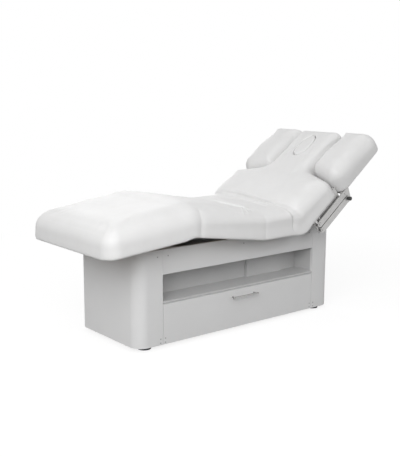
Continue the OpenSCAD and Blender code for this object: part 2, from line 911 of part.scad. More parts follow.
back_rail_end = min(shoulder_side_s + shoulder_r, half_l - board_t - back_axis_x - thin_t);

module back_rails() {
    color(black) in_back() difference() {
        rail_pair(outer_rail_y) difference() {
            union() {
                rail_profile(0, back_rail_end, tube_bottom, tube_top);
                circle(hinge_r);
            }
            hinge_hole();
        }
        rail_hollow(outer_rail_y, 0, back_rail_end);
    }
}

// Cross tube between the rails, with the flat outriggers that reach the arm plates
module back_cross_tube() {
    color(black) in_back() {
        block([pivot_s - tube_w / 2, -outer_rail_y + tube_w / 2, tube_bottom],
            [pivot_s + tube_w / 2, outer_rail_y - tube_w / 2, tube_top]);
        for (front = [true, false]) on_side(front)
            block([pivot_s - outrigger_w / 2, -plate_y, tube_top - outrigger_h],
                [pivot_s + outrigger_w / 2, -outer_rail_y - tube_w / 2, tube_top]);
    }
}

// Profile of a link between two pivots
module link_profile(hole_r) {
    difference() {
        union() {
            translate([0, -link_w / 2]) square([link_l, link_w]);
            for (s = [0, link_l]) translate([s, 0]) circle(link_w / 2);
        }
        for (s = [0, link_l]) translate([s, 0]) circle(s > 0 ? hole_r : pivot_r + run_gap);
    }
}

// Flat piece in x and z between two distances from the middle, on the front side
module flat_piece(y_in, y_out) {
    translate([0, -y_in, 0]) rotate([90, 0, 0]) linear_extrude(y_out - y_in) children();
}

module pin(s, z, y_in, y_out) {
    translate([s, -y_in, z]) rotate([90, 0, 0]) cylinder(r = pivot_r, h = y_out - y_in);
}

plate_share = 0.725;
boss_share = 2;
head_share = 1.8;
plate_r = plate_share * link_w;

// Plate that hangs from the outrigger and holds the two lower pivots on stand-off bosses
module arm_plate(front) {
    color(steel) in_back() on_side(front) {
        flat_piece(plate_y, plate_y + link_t) {
            translate([pivot_s - outrigger_w / 2, pivot_z]) square([outrigger_w, tube_top - pivot_z]);
            translate([pivot_s - outrigger_w / 2, pivot_z - pivot_gap]) square([outrigger_w, pivot_gap]);
            translate([pivot_s, pivot_z - pivot_gap]) circle(outrigger_w / 2);
        }
        for (z = [pivot_z, pivot_z - pivot_gap]) {
            translate([pivot_s, -plate_y - link_t, z]) rotate([90, 0, 0])
                cylinder(r = boss_share * pivot_r, h = bar_in - fit - plate_y - link_t);
            pin(pivot_s, z, plate_y, bar_out + fit);
            pin_head(pivot_s, z);
        }
    }
}

module pin_head(s, z) {
    translate([s, -bar_out - fit, z]) rotate([90, 0, 0]) cylinder(r = head_share * pivot_r, h = head_t / 2);
}

module upper_link(front) {
    color(steel) in_back() on_side(front) translate([pivot_s, 0, pivot_z])
        flat_piece(bar_in, bar_out) link_profile(pivot_r + run_gap);
}

// The far hole of the lower link is the one pivot that is left loose
module lower_link(front) {
    color(steel) in_back() on_side(front) translate([pivot_s, 0, pivot_z - pivot_gap])
        flat_piece(bar_in, bar_out) link_profile(pivot_r + soft_gap);
}

flange_shares = [3.2, 2.4];
bracket_share = 2.7;
carrier_flange_l = flange_shares[0] * link_w;
carrier_flange_w = flange_shares[1] * link_w;

module arm_carrier(front) {
    color(steel) in_back() on_side(front) {
        flat_piece(carrier_y, carrier_y + link_t) hull() {
            translate([carrier_s - plate_r, arm_skirt_z - link_t]) square([bracket_share * plate_r, link_t]);
            translate([carrier_s, pivot_z - pivot_gap]) circle(plate_r);
        }
        block([carrier_s - plate_r, -carrier_y - link_t, arm_skirt_z - link_t],
            [carrier_s - plate_r + carrier_flange_l, -carrier_y - link_t + carrier_flange_w, arm_skirt_z]);
        pin(carrier_s, pivot_z, carrier_y, bar_out + fit);
        pin_head(carrier_s, pivot_z);
        pin(carrier_s, pivot_z - pivot_gap, carrier_y, bar_out + fit);
    }
}

module lock_knob(front) {
    color(black) in_back() on_side(front)
        translate([carrier_s, -bar_out - fit, pivot_z - pivot_gap]) rotate([90, 0, 0]) {
            cylinder(r = knob_d / 3, h = knob_t / 2);
            translate([0, 0, knob_t / 2]) cylinder(d = knob_d, h = knob_t);
        }
}

arm_board_t = thin_t;

module arm_board(front) {
    color(board_colour) in_back() on_side(front) translate([0, 0, arm_skirt_z])
        linear_extrude(arm_board_t) polygon(inset(arm_outline, skirt_w + fit));
}

module arm_pad(front) {
    color(soft_white) in_back() on_side(front) difference() {
        translate([0, 0, arm_skirt_z]) ring_solid(concat(side_rings(arm_outline),
            crown_rings(arm_outline, (neck_s + arm_end_s) / 2, -(arm_in + arm_out) / 2)));
        translate([0, 0, arm_skirt_z - over]) linear_extrude(arm_board_t + over)
            polygon(inset(arm_outline, skirt_w));
    }
}

module front_arm_plate() { arm_plate(true); }
module rear_arm_plate() { arm_plate(false); }
module front_upper_link() { upper_link(true); }
module rear_upper_link() { upper_link(false); }
module front_lower_link() { lower_link(true); }
module rear_lower_link() { lower_link(false); }
module front_arm_carrier() { arm_carrier(true); }
module rear_arm_carrier() { arm_carrier(false); }
module front_arm_board() { arm_board(true); }
module rear_arm_board() { arm_board(false); }
module front_arm_pad() { arm_pad(true); }
module rear_arm_pad() { arm_pad(false); }
module front_lock_knob() { lock_knob(true); }
module rear_lock_knob() { lock_knob(false); }

foot_end_shell();
head_end_shell();
top_rail();
back_panel();
base_board();
bay_floor();
shelf_board();
niche_back();
partitions();
service_cover();
foot_top_board();
levelling_feet();
screw_caps();
drawer_runners();
mains_inlet();
column_base();
column_outer();
column_middle();
column_inner();
seat_rails();
seat_cross_tubes();
seat_board();
seat_cushion();
seat_hinge_pins();
thigh_rails();
thigh_cross_tube();
thigh_board();
thigh_cushion();
knee_pins();
leg_bars();
leg_cross_bar();
leg_board();
leg_cushion();
back_rails();
back_cross_tube();
back_board();
back_cushion();
face_plug();
front_arm_plate();
rear_arm_plate();
front_upper_link();
rear_upper_link();
front_lower_link();
rear_lower_link();
front_arm_carrier();
rear_arm_carrier();
front_arm_board();
rear_arm_board();
front_arm_pad();
rear_arm_pad();
front_lock_knob();
rear_lock_knob();
drawer_front();
drawer_box();
drawer_handle();
drawer_slides();
drawer_caps();
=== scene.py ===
# Spa bed with cabinet base: the looks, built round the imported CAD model. Shapes are worked out in
# millimetres in each section's own frame and turned into metres when a mesh is made.
import json
import math

import bmesh
import bpy
import numpy as np
from mathutils import Matrix, Vector


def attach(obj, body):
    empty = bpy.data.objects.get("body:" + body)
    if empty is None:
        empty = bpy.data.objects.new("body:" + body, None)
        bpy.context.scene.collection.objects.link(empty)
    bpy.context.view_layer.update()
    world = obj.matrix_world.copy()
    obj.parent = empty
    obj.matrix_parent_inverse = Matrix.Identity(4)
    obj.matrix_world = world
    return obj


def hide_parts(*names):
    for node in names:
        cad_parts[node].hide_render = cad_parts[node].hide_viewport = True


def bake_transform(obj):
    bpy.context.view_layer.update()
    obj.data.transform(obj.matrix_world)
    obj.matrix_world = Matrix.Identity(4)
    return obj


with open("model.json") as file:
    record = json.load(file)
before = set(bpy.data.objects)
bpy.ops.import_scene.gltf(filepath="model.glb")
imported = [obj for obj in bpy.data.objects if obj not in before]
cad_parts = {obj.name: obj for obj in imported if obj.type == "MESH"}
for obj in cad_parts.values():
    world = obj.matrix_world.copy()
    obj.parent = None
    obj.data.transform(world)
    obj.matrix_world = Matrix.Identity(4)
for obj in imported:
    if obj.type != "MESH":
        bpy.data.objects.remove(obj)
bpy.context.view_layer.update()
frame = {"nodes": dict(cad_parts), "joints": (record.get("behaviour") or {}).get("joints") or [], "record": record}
nodes = frame["nodes"]
body_of_node = {n: b for b, members in frame["record"]["behaviour"]["bodies"].items() for n in members}
hinges = {j["name"]: Vector(j["pos_m"]) for j in frame["joints"] if "pos_m" in j}
MM = 0.001

# Sizes that the upholstery shares with the CAD, in millimetres and degrees
THIGH_L, LEG_L, SEAT_L, BACK_L = 452.0, 553.0, 304.0, 748.0
THIGH_ANGLE, KNEE_ANGLE, BACK_ANGLE = 8.5, 13.6, 38.0
BED_HALF = 400.0
SKIRT_Z, POCKET_Z, EDGE_Z, CROWN = -18.0, 26.0, 112.0, 22.0
SKIRT_W = 28.0
ARM_DROP, ARM_BOARD_T = 22.0, 12.0
FOOT_END_R = 92.0
SEAM_X = 214.0
FACE_S, FACE_A, FACE_B = BACK_L - 168.0, 98.0, 49.0

# Camera fitted to the photograph: place in metres, angles in degrees, lens and sensor in millimetres
CAMERA_PLACE = (-2.8904, -3.4452, 1.3509)
CAMERA_TURN, CAMERA_DOWN, CAMERA_ROLL = -38.951, 10.445, 0.243
CAMERA_LENS, CAMERA_SENSOR = 62.71, 36.0


def turned(degrees, axis):
    return Matrix.Rotation(math.radians(degrees), 3, axis)


def make_camera():
    data = bpy.data.cameras.new("camera")
    data.lens, data.sensor_width, data.sensor_fit = CAMERA_LENS, CAMERA_SENSOR, "AUTO"
    data.clip_end = 100
    cam = bpy.data.objects.new("camera", data)
    cam.location = CAMERA_PLACE
    tilt = turned(CAMERA_TURN, "Z") @ turned(90 - CAMERA_DOWN, "X")
    cam.rotation_euler = (tilt @ turned(CAMERA_ROLL, "Z")).to_euler()
    bpy.context.scene.collection.objects.link(cam)
    bpy.context.scene.camera = cam


# Materials. Noise scales are in repeats per metre, and bump distances in metres
class Nodes:
    """Short calls for building the node tree of a material or world."""

    def __init__(self, owner, out_kind="ShaderNodeOutputMaterial"):
        owner.use_nodes = True
        self.owner = owner
        self.tree = owner.node_tree
        self.tree.nodes.clear()
        self.out = self.add(out_kind)
        self.place = self.add("ShaderNodeTexCoord").outputs

    def add(self, kind, inputs=None, **settings):
        """A new node with its settings, and a value or link for each input given."""
        n = self.tree.nodes.new(kind)
        for k, v in settings.items():
            setattr(n, k, v)
        for k, v in (inputs or {}).items():
            self.put(n.inputs[k], v)
        return n

    def put(self, socket, v):
        if isinstance(v, bpy.types.NodeSocket):
            self.tree.links.new(v, socket)
        elif isinstance(v, (tuple, list)) and socket.type == "RGBA":
            socket.default_value = tuple(v) + (1.0,) * (4 - len(v))
        else:
            socket.default_value = v

    def noise(self, scale, detail=3.0, rough=0.5, stretch=(1, 1, 1), distortion=0.0):
        m = self.add("ShaderNodeMapping", {"Vector": self.place["Object"], "Scale": stretch})
        n = self.add("ShaderNodeTexNoise", {"Vector": m.outputs[0], "Scale": scale, "Detail": detail,
                                            "Roughness": rough, "Distortion": distortion})
        return n.outputs["Fac"]

    def cells(self, scale):
        n = self.add("ShaderNodeTexVoronoi", {"Vector": self.place["Object"], "Scale": scale},
                     feature="DISTANCE_TO_EDGE")
        return n.outputs["Distance"]

    def span(self, value, low, high, to_low=0.0, to_high=1.0):
        n = self.add("ShaderNodeMapRange", {"Value": value, "From Min": low, "From Max": high,
                                            "To Min": to_low, "To Max": to_high})
        return n.outputs["Result"]

    def spread(self, noise, to_low=0.0, to_high=1.0):
        """The range that most values of a noise lie in, spread over a new range."""
        return self.span(noise, 0.3, 0.7, to_low, to_high)

    def mix(self, factor, a, b):
        return self.add("ShaderNodeMix", {"Factor": factor, 6: a, 7: b}, data_type="RGBA").outputs[2]

    def math(self, operation, a, b):
        return self.add("ShaderNodeMath", {0: a, 1: b}, operation=operation).outputs[0]

    def bump(self, height, distance, strength, below=None):
        n = self.add("ShaderNodeBump", {"Height": height, "Distance": distance, "Strength": strength})
        if below is not None:
            self.put(n.inputs["Normal"], below)
        return n.outputs["Normal"]

    def seen_rays(self):
        """One for rays that look at the surround, straight or in a mirror or glass."""
        path = self.add("ShaderNodeLightPath").outputs
        either = self.math("MAXIMUM", path["Is Camera Ray"], path["Is Glossy Ray"])
        return self.math("MAXIMUM", either, path["Is Transmission Ray"])

    def finish(self, shader):
        self.put(self.out.inputs["Surface"], shader.outputs[0])
        return self.owner

    def surface(self, colour, rough, normal, metal=0.0, specular=0.5):
        return self.finish(self.add("ShaderNodeBsdfPrincipled", {
            "Base Color": colour, "Roughness": rough, "Normal": normal, "Metallic": metal,
            "Specular IOR Level": specular}))


def material_nodes(name):
    return Nodes(bpy.data.materials.new(name))


def grey(v, warm=0.0):
    return (v * (1 + warm), v, v * (1 - warm))


def leather():
    """White faux leather: a fine pebble grain, faint creases, and painted shade in the grain's hollows."""
    n = material_nodes("faux_leather")
    pebble = n.span(n.cells(620.0), 0.0, 0.32)
    fine = n.noise(1400.0, 2.0)
    broad = n.noise(9.0, 4.0, 0.6, distortion=0.4)
    colour = n.mix(n.spread(broad), grey(0.815, 0.004), grey(0.85, 0.002))
    # Painted shade: the grain's hollows, towards the cell edges, are darkened towards a grey
    painted_grain_shade = n.math("MULTIPLY", n.math("SUBTRACT", 1.0, pebble), 0.12)
    colour = n.mix(painted_grain_shade, colour, grey(0.72, 0.01))
    rough = n.spread(n.noise(34.0, 5.0, 0.65), 0.4, 0.53)
    normal = n.bump(n.noise(16.0, 3.0), 0.0012, 0.35)
    normal = n.bump(pebble, 0.00012, 0.5, normal)
    normal = n.bump(fine, 0.00004, 0.4, normal)
    return n.surface(colour, rough, normal, specular=0.45)


def melamine(name, tone):
    """Satin melamine board: a very fine pearl texture and slight unevenness of gloss."""
    n = material_nodes(name)
    colour = n.mix(n.spread(n.noise(5.0, 3.0)), grey(tone), grey(tone * 1.03))
    rough = n.spread(n.noise(70.0, 4.0, 0.7), 0.36, 0.46)
    normal = n.bump(n.noise(900.0, 2.0, 0.6), 0.00006, 0.5)
    return n.surface(colour, rough, normal, specular=0.3)


def plywood():
    n = material_nodes("plywood")
    grain = n.noise(9.0, 6.0, 0.62, (0.7, 9.0, 9.0), 0.7)
    fine = n.noise(60.0, 4.0, 0.6, (0.5, 10.0, 10.0))
    colour = n.mix(n.span(grain, 0.32, 0.68), (0.36, 0.24, 0.13), (0.55, 0.41, 0.26))
    colour = n.mix(n.span(fine, 0.35, 0.65, 0.0, 0.35), colour, (0.27, 0.17, 0.09))
    return n.surface(colour, n.spread(grain, 0.55, 0.72), n.bump(fine, 0.0003, 0.5), specular=0.35)


def powder_coat():
    n = material_nodes("powder_coat")
    colour = n.mix(n.spread(n.noise(14.0, 4.0)), grey(0.018), grey(0.03))
    normal = n.bump(n.noise(520.0, 3.0, 0.6), 0.0002, 0.6)
    return n.surface(colour, n.spread(n.noise(160.0, 3.0), 0.42, 0.58), normal)


def metal(name, tone, rough, stretch=(1, 1, 1), brushed=0.0, warm=0.0):
    """Bare or plated metal with cloudy tone; brushed along the axis that stretch keeps long."""
    n = material_nodes(name)
    cloud = n.noise(28.0, 5.0, 0.6, distortion=0.5)
    lines = n.noise(900.0, 3.0, 0.6, stretch)
    colour = n.mix(n.spread(cloud), grey(tone * 0.9, warm), grey(tone * 1.06, warm))
    colour = n.mix(n.spread(lines, 0.0, 0.25), colour, grey(tone * 0.72, warm))
    cloudy = n.spread(cloud, rough - 0.05, rough + 0.07)
    rough = n.math("ADD", cloudy, n.spread(lines, 0.0, 0.08))
    normal = n.bump(lines, 0.00005 + 0.0001 * brushed, 0.5)
    return n.surface(colour, rough, normal, metal=1.0)


def plastic(name, tone, rough, grain):
    n = material_nodes(name)
    colour = n.mix(n.spread(n.noise(40.0, 3.0)), grey(tone * 0.9), grey(tone * 1.1))
    normal = n.bump(n.noise(1100.0, 2.0), grain, 0.5)
    return n.surface(colour, n.spread(n.noise(120.0, 3.0), rough - 0.06, rough + 0.08), normal)


MATERIALS = {
    "upholstery": leather(),
    "laminate_white": melamine("melamine", 0.8),
    # Painted shade: the parts inside the niche get this darker copy of the white melamine
    "laminate_painted_shade": melamine("melamine_painted_shade", 0.6),
    "board_raw": plywood(),
    "frame_black": powder_coat(),
    "lift_metal": metal("anodised", 0.6, 0.36, (1, 1, 0.02), 0.5),
    "linkage_steel": metal("zinc_plated", 0.5, 0.38, warm=0.01),
    "handle_steel": metal("satin_stainless", 0.4, 0.3, (0.02, 1, 1), 1.0, 0.01),
    "runner_steel": metal("runner_zinc", 0.48, 0.4, (0.02, 1, 1), 0.5),
    "foot_black": plastic("foot_rubber", 0.05, 0.62, 0.0002),
    "plastic_black": plastic("black_plastic", 0.03, 0.46, 0.0001),
    "cap_grey": plastic("cap_plastic", 0.42, 0.5, 0.0001),
}


# Mesh helpers
ARC_STEPS = 12
SETTLE_STEPS = 5
PROBE = 0.4
CUT_TOLERANCE = 1e-4
CLOTH_FRAMES = 20
CLOTH_PRESSURE = 4.0
CLOTH_STIFFNESS = 20
CLOTH_BENDING = 4
BEVEL_SEGMENTS = 2


def add_object(name, mesh):
    obj = bpy.data.objects.new(name, mesh)
    bpy.context.scene.collection.objects.link(obj)
    return obj


def mesh_from(verts, faces, name="mesh"):
    mesh = bpy.data.meshes.new(name)
    mesh.from_pydata([tuple(v) for v in verts], [], [tuple(f) for f in faces])
    mesh.update()
    return mesh


def vertex_values(mesh, what):
    values = np.empty(len(mesh.vertices) * 3)
    mesh.vertices.foreach_get(what, values)
    return values.reshape(-1, 3)


def coords(mesh):
    return vertex_values(mesh, "co")


def set_coords(mesh, co):
    mesh.vertices.foreach_set("co", np.ascontiguousarray(co, np.float32).ravel())
    mesh.update()


def change(mesh, edit):
    """Runs edit on the mesh as a bmesh, and writes it back."""
    bm = bmesh.new()
    bm.from_mesh(mesh)
    edit(bm)
    bm.to_mesh(mesh)
    bm.free()


def smooth_shade(mesh):
    mesh.polygons.foreach_set("use_smooth", [True] * len(mesh.polygons))


def evaluated(obj):
    dg = bpy.context.evaluated_depsgraph_get()
    return bpy.data.meshes.new_from_object(obj.evaluated_get(dg), depsgraph=dg)


def drop(obj):
    bpy.data.objects.remove(obj, do_unlink=True)


def prism(outline, low, high):
    """Closed prism over a counter-clockwise outline, in millimetres."""
    n = len(outline)
    verts = [(x, y, z) for z in (low, high) for x, y in outline]
    faces = [tuple(range(n - 1, -1, -1)), tuple(range(n, 2 * n))]
    faces += [(i, (i + 1) % n, n + (i + 1) % n, n + i) for i in range(n)]
    return add_object("prism", mesh_from(verts, faces))


def cut(obj, tool):
    m = obj.modifiers.new("cut", "BOOLEAN")
    m.operation, m.object, m.solver = "DIFFERENCE", tool, "EXACT"
    mesh = evaluated(obj)
    obj.modifiers.clear()
    obj.data = mesh
    drop(tool)
    return obj


def arc(x, y, r, start, end):
    angles = np.radians(np.linspace(start, end, ARC_STEPS + 1))
    return [(x + r * math.cos(a), y + r * math.sin(a)) for a in angles]


def polygon_distance(p, outline):
    """Signed distance in plan from points to a closed outline, negative inside."""
    a = np.array(outline)
    b = np.roll(a, -1, 0)
    result = np.full(len(p), 1e9)
    crossings = np.zeros(len(p), int)
    for (ax, ay), (bx, by) in zip(a, b):
        ex, ey = bx - ax, by - ay
        wx, wy = p[:, 0] - ax, p[:, 1] - ay
        t = np.clip((wx * ex + wy * ey) / max(ex * ex + ey * ey, 1e-12), 0, 1)
        result = np.minimum(result, np.hypot(wx - ex * t, wy - ey * t))
        if ey != 0:
            crossings += ((ay <= p[:, 1]) != (by <= p[:, 1])) & (wx < ex * wy / ey)
    return np.where(crossings % 2 == 1, -result, result)


def both(a, b, r):
    """Where both distances are negative, with an edge rounded by r."""
    return np.minimum(np.maximum(a, b), -r) + np.hypot(np.maximum(a + r, 0), np.maximum(b + r, 0))


def settle(co, distance):
    """Moves points onto the surface where the distance function is zero."""
    for _ in range(SETTLE_STEPS):
        f = distance(co)
        g = np.stack([distance(co + np.eye(3)[i] * PROBE) - f for i in range(3)], 1) / PROBE
        length = np.maximum(np.linalg.norm(g, axis=1), 0.25)
        co = co - (f / length)[:, None] * g / length[:, None]
    return co


def ease(t):
    t = np.clip(t, 0, 1)
    return t * t * (3 - 2 * t)


def bell(x, centre, width):
    return np.exp(-((x - centre) / width) ** 2)


def remeshed(obj, voxel):
    m = obj.modifiers.new("remesh", "REMESH")
    m.mode, m.voxel_size, m.adaptivity = "VOXEL", voxel, 0.0
    mesh = evaluated(obj)
    drop(obj)
    return mesh


def subdivided(mesh):
    obj = add_object("work", mesh)
    m = obj.modifiers.new("sub", "SUBSURF")
    m.levels = m.render_levels = 1
    out = evaluated(obj)
    drop(obj)
    return out


def inflated(mesh, held, free, cap):
    """Swells a mesh in metres by cloth simulation. Held points are pinned, free scales each point's
    move, and cap limits it."""
    rest = coords(mesh)
    obj = add_object("cloth", mesh)
    group = obj.vertex_groups.new(name="held")
    for w in (0.0, 1.0):
        group.add([int(i) for i in np.nonzero(held == w)[0]], w, "REPLACE")
    m = obj.modifiers.new("cloth", "CLOTH")
    s = m.settings
    s.quality = 4
    s.use_pressure, s.uniform_pressure_force = True, CLOTH_PRESSURE
    s.effector_weights.gravity = 0
    s.vertex_group_mass = "held"
    s.tension_stiffness = s.compression_stiffness = CLOTH_STIFFNESS
    s.bending_stiffness = CLOTH_BENDING
    m.point_cache.frame_start, m.point_cache.frame_end = 1, CLOTH_FRAMES
    scene = bpy.context.scene
    for f in range(1, CLOTH_FRAMES + 1):
        scene.frame_set(f)
    dg = bpy.context.evaluated_depsgraph_get()
    moved = coords(obj.evaluated_get(dg).data)
    scene.frame_set(1)
    mesh = obj.data
    obj.modifiers.clear()
    move = moved - rest
    length = np.maximum(np.linalg.norm(move, axis=1), 1e-9)
    move *= (free * np.tanh(length / cap) * cap / length)[:, None]
    set_coords(mesh, rest + move)
    obj.vertex_groups.clear()
    bpy.data.objects.remove(obj)
    return mesh


# Outlines in plan, in millimetres. The mattress is drawn flat, with x from the thigh hinge towards the
# head. The arm pads and the plug are drawn with s from the back hinge
FOOT_X = -THIGH_L - LEG_L
NECK_HALF, SHOULDER_S, SHOULDER_TURN, SHOULDER_R, NECK_R, HEAD_R = 162.0, 382.0, 18.0, 62.0, 60.0, 36.0
ARM_GAP, ARM_R, ARM_PAST, ARM_OUT = 13.0, 62.0, 27.0, 408.0
HEAD_PROUD = 10.0
FACE_STEPS = 60
PLUG_GAP = 1.0
turn = math.radians(SHOULDER_TURN)
neck_s, neck_y, shoulder_y = SHOULDER_S + NECK_R, NECK_HALF + NECK_R, BED_HALF - SHOULDER_R
side_s = neck_s - (SHOULDER_R + NECK_R + (shoulder_y - neck_y) * math.sin(turn)) / math.cos(turn)
back_half = (arc(side_s, -shoulder_y, SHOULDER_R, -90, -SHOULDER_TURN)
             + arc(neck_s, -neck_y, NECK_R, 180 - SHOULDER_TURN, 90)
             + arc(BACK_L + HEAD_PROUD - HEAD_R, -NECK_HALF + HEAD_R, HEAD_R, -90, 0))
near_half = arc(FOOT_X + FOOT_END_R, -BED_HALF + FOOT_END_R, FOOT_END_R, 180, 270)
near_half += [(s + SEAT_L, y) for s, y in back_half]
mattress_outline = near_half + [(x, -y) for x, y in reversed(near_half)]
arm_in, arm_in_r = NECK_HALF + ARM_GAP, NECK_R - ARM_GAP
arm_y, arm_end = ARM_OUT - ARM_R, BACK_L + ARM_PAST
arm_side_s = neck_s - ((arm_y - neck_y) * math.sin(turn) + arm_in_r - ARM_R) / math.cos(turn)
arm_outline = (arc(arm_side_s, -arm_y, ARM_R, 180 - SHOULDER_TURN, 270)
               + arc(arm_end - ARM_R, -arm_y, ARM_R, -90, 0)
               + arc(arm_end - HEAD_R, -arm_in - HEAD_R, HEAD_R, 0, 90)
               + arc(neck_s, -neck_y, arm_in_r, 90, 180 - SHOULDER_TURN))
ring = np.linspace(0, 2 * math.pi, FACE_STEPS + 1)[:-1]
face_outline = [(FACE_S + SEAT_L + FACE_A * math.cos(a), FACE_B * math.sin(a)) for a in ring]
plug_a, plug_b = FACE_A - PLUG_GAP, FACE_B - PLUG_GAP
plug_outline = [(FACE_S + plug_a * math.cos(a), plug_b * math.sin(a)) for a in ring]

# Along the mattress: height of the side, rise of the crown above it, and radius of the rolled edge
PLACES = [-1005, -900, -700, -480, -330, -150, 0, 120, 214, 300, 420, 560, 760, 1052]
SIDES = [100, 101, 103, 105, 107, 109, 110, 111, 112, 121, 121, 113, 111, 96]
RISES = [16, 30, 42, 46, 42, 33, 29, 23, 20, 30, 36, 27, 11, 6]
ROLLS = [56, 56, 60, 60, 52, 40, 32, 30, 30, 42, 58, 64, 56, 48]
CROWN_REACH, CROWN_POWER = 162.0, 2.6
# Where the sides pull in at the hinges: place, depth and width
PINCHES = ((-THIGH_L + 2, 4.5, 19), (4, 2.5, 9))
HOLE_GAP, LOWER_R, POCKET_R = 1.0, 9.0, 3.0
# The cover's lower edge hangs deeper at the foot end, over a ramp that starts this far from the end
BELLY, BELLY_START, BELLY_RAMP = 7, 90, 70

# Swelling: how much smaller the start is, most that a point moves, and the height over which it fades in
SWELL = 4.0
MATTRESS_CAP, ARM_CAP, PLUG_CAP = 7.0, 6.0, 3.0
MATTRESS_VOXEL, ARM_VOXEL, PLUG_VOXEL = 9.0, 7.0, 4.0
FADE = 75
# The rough solids stand this far above the edge and are cut from this far below
ROUGH_ABOVE, ARM_ROUGH_ABOVE, CUT_BELOW = 30, 16, 9


def fullness(inset, reach):
    return 1 - (1 - np.clip(inset / reach, 0, 1)) ** CROWN_POWER


def mattress_shape(p):
    """Distance function of the flat mattress: crowned, rolled at its edges, with a pocket below."""
    side = polygon_distance(p, mattress_outline)
    x = p[:, 0]
    for place, depth, width in PINCHES:
        side = side + depth * bell(x, place, width)
    side = side + SWELL
    rise = np.interp(x, PLACES, RISES) * fullness(-side, CROWN_REACH)
    top = p[:, 2] - np.interp(x, PLACES, SIDES) - rise + SWELL
    body = both(side, top, np.interp(x, PLACES, ROLLS))
    body = both(body, -polygon_distance(p, face_outline) + HOLE_GAP, LOWER_R)
    belly = BELLY * ease((FOOT_X + BELLY_START - x) / BELLY_RAMP)
    body = both(body, SKIRT_Z - belly - p[:, 2], LOWER_R)
    return np.maximum(body, -both(side - SWELL + SKIRT_W, p[:, 2] - POCKET_Z, POCKET_R))


def shrunk(outline, by):
    """Outline moved inwards, good enough for a pocket's rough start."""
    pts = np.array(outline)
    d = np.roll(pts, -1, 0) - np.roll(pts, 1, 0)
    n = np.stack([-d[:, 1], d[:, 0]], 1) / np.maximum(np.linalg.norm(d, axis=1), 1e-9)[:, None]
    return [tuple(q) for q in pts + n * by]


def upholstered(body, shape, held, low, voxel, cap):
    """A soft piece in millimetres from its rough solid: settled on its form, swollen, and subdivided."""
    mesh = remeshed(body, voxel)
    co = settle(coords(mesh), shape)
    set_coords(mesh, co * MM)
    mesh = inflated(mesh, held(co).astype(float), ease((co[:, 2] - low) / FADE), cap * MM)
    mesh = subdivided(mesh)
    set_coords(mesh, coords(mesh) / MM)
    return mesh


THIGH_BEND = (80.0, -80.0)
KNEE_BEND = (-THIGH_L - 2, -THIGH_L - 96)
BACK_BEND = (SEAM_X + 6, 2 * SEAT_L - SEAM_X - 6)


def bent(co, x0, x1, pivot, degrees):
    w = ease((co[:, 0] - x0) / (x1 - x0))
    a = np.radians(degrees) * w
    x, z = co[:, 0] - pivot[0], co[:, 2] - pivot[1]
    out = co.copy()
    out[:, 0] = pivot[0] + x * np.cos(a) + z * np.sin(a)
    out[:, 2] = pivot[1] - x * np.sin(a) + z * np.cos(a)
    return out


def at_rest(co):
    """Points of the flat mattress, in millimetres, where they lie on the resting bed, in metres."""
    co = np.array(co, float).reshape(-1, 3)
    co = bent(co, *KNEE_BEND, (-THIGH_L, 0.0), -KNEE_ANGLE)
    co = bent(co, *THIGH_BEND, (0.0, 0.0), THIGH_ANGLE)
    co = bent(co, *BACK_BEND, (SEAT_L, 0.0), -BACK_ANGLE)
    return co * MM + np.array(hinges["thigh_hinge"])


def blend_line(zone):
    """Two points of the resting bed between which a section's cover bends."""
    ends = at_rest([(zone[0], 0, EDGE_Z / 2), (zone[1], 0, EDGE_Z / 2)])
    return {"start": tuple(ends[0]), "end": tuple(ends[1])}


def soft_piece(name, mesh, co, replaced):
    set_coords(mesh, co)
    smooth_shade(mesh)
    mesh.materials.clear()
    mesh.materials.append(MATERIALS["upholstery"])
    obj = add_object(name, mesh)
    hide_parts(*replaced)
    return obj


# Creases of the cover. The folds are pressed in where the seat meets the raised back, and each has its
# points in plan, its width and its height
FOLDS = [([(352, 330), (366, 160), (346, 16), (282, -144), (200, -300)], 5, -9.0),
         ([(376, 320), (390, 150), (370, 0), (306, -160), (228, -300)], 12, 4.0),
         ([(286, 160), (268, 50), (234, -92), (200, -230)], 4.5, -7.0),
         ([(262, 170), (245, 33), (186, -141), (146, -300)], 8, 5.5),
         ([(62, 150), (3, -57), (-50, -220), (-84, -360)], 7, 6.5),
         ([(88, 150), (30, -57), (-22, -220), (-56, -350)], 10, -6.0),
         ([(-20, -200), (-86, -300), (-112, -372)], 4, 2.4),
         ([(-60, -232), (-130, -330), (-160, -380)], 4, 2.0)]
FOLD_FADE = 0.22
# Around a fold, this many widths and down to this share of its height, the mesh is made finer
FINE_WIDTHS, FINE_SHARE, FINE_DEPTH = 2.6, 0.3, 40
# The seam in front of the back: rows of points about it, its step, steep on the seat's side and long on
# the back's, less on the top than on the sides, and the lip in front of it
SEAM_ROWS = (-12, -8, -5, -2.5, 2.5, 5, 8, 12)
SEAM_DEPTH, SEAM_STEEP, SEAM_LONG, SEAM_LESS = 6.5, 4.0, 30.0, 0.6
SEAM_ABOVE, SEAM_RAMP = 20, 60
LIP, LIP_BEFORE, LIP_W = 2.5, 17, 9
# A point counts as on top when its normal's upward part is past the first value, wholly after the second
TOP_FROM, TOP_RAMP = 0.25, 0.4


def rounded(points):
    """The line with its corners cut three times, so that it runs as a curve."""
    pts = np.array(points, float)
    for _ in range(3):
        a, b = pts[:-1], pts[1:]
        inner = np.stack([0.75 * a + 0.25 * b, 0.25 * a + 0.75 * b], 1).reshape(-1, 2)
        pts = np.vstack([pts[:1], inner, pts[-1:]])
    return pts


